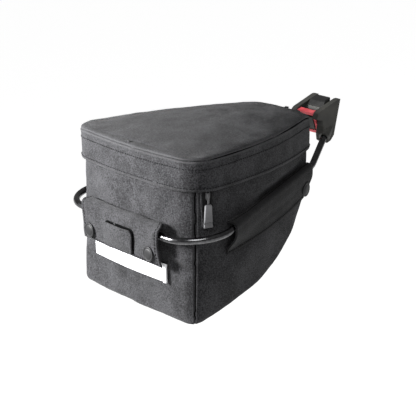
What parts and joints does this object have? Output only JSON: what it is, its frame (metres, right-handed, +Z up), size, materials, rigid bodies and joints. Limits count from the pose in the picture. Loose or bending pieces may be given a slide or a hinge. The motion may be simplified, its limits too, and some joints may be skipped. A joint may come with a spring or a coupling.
{
  "type": "seatpost bag",
  "caption": "Zipped fabric bag on a steel tube loop that clips to a bicycle's seatpost with a plastic adapter and a release lever.",
  "frame": {"origin": "middle of the adapter's seat face, between its two prongs", "axes": "+Z up, +Y forwards to the seatpost, +X to the bicycle's right side"},
  "size_m": [0.2176, 0.2828, 0.1736],
  "materials": {
    "black_nylon": "matte woven nylon with stitched seams",
    "black_webbing": "flat woven webbing",
    "reflective_silver": "retroreflective silver tape",
    "black_gloss_steel": "glossy black coating on steel",
    "black_enamel": "satin black enamel",
    "dark_zinc": "satin black",
    "grey_plastic": "moulded grey",
    "black_plastic": "moulded, fine grain",
    "red_plastic": "moulded, satin"
  },
  "bodies": {
    "bag": {"body_shell": "black_nylon", "lid": "black_nylon", "rear_flap": "black_nylon", "side_sleeve_left": "black_nylon", "side_sleeve_right": "black_nylon", "light_loop": "black_webbing", "reflective_strip": "reflective_silver", "frame_tube": "black_gloss_steel", "rear_snap_left": "black_enamel", "rear_snap_right": "black_enamel", "side_snap_left": "black_enamel", "side_snap_right": "black_enamel", "zip_slider": "dark_zinc", "zip_pull": "grey_plastic", "adapter_body": "black_plastic", "latch_block": "black_plastic"},
    "lever": {"release_lever": "red_plastic"}
  },
  "joints": [
    {"name": "release_lever", "type": "hinge", "parent": "bag", "child": "lever", "pos_m": [0, -0.01489, -0.00805], "axis": [1, 0, 0], "range_deg": [0, 12], "stiffness_Nm_per_rad": 0.1}
  ]
}
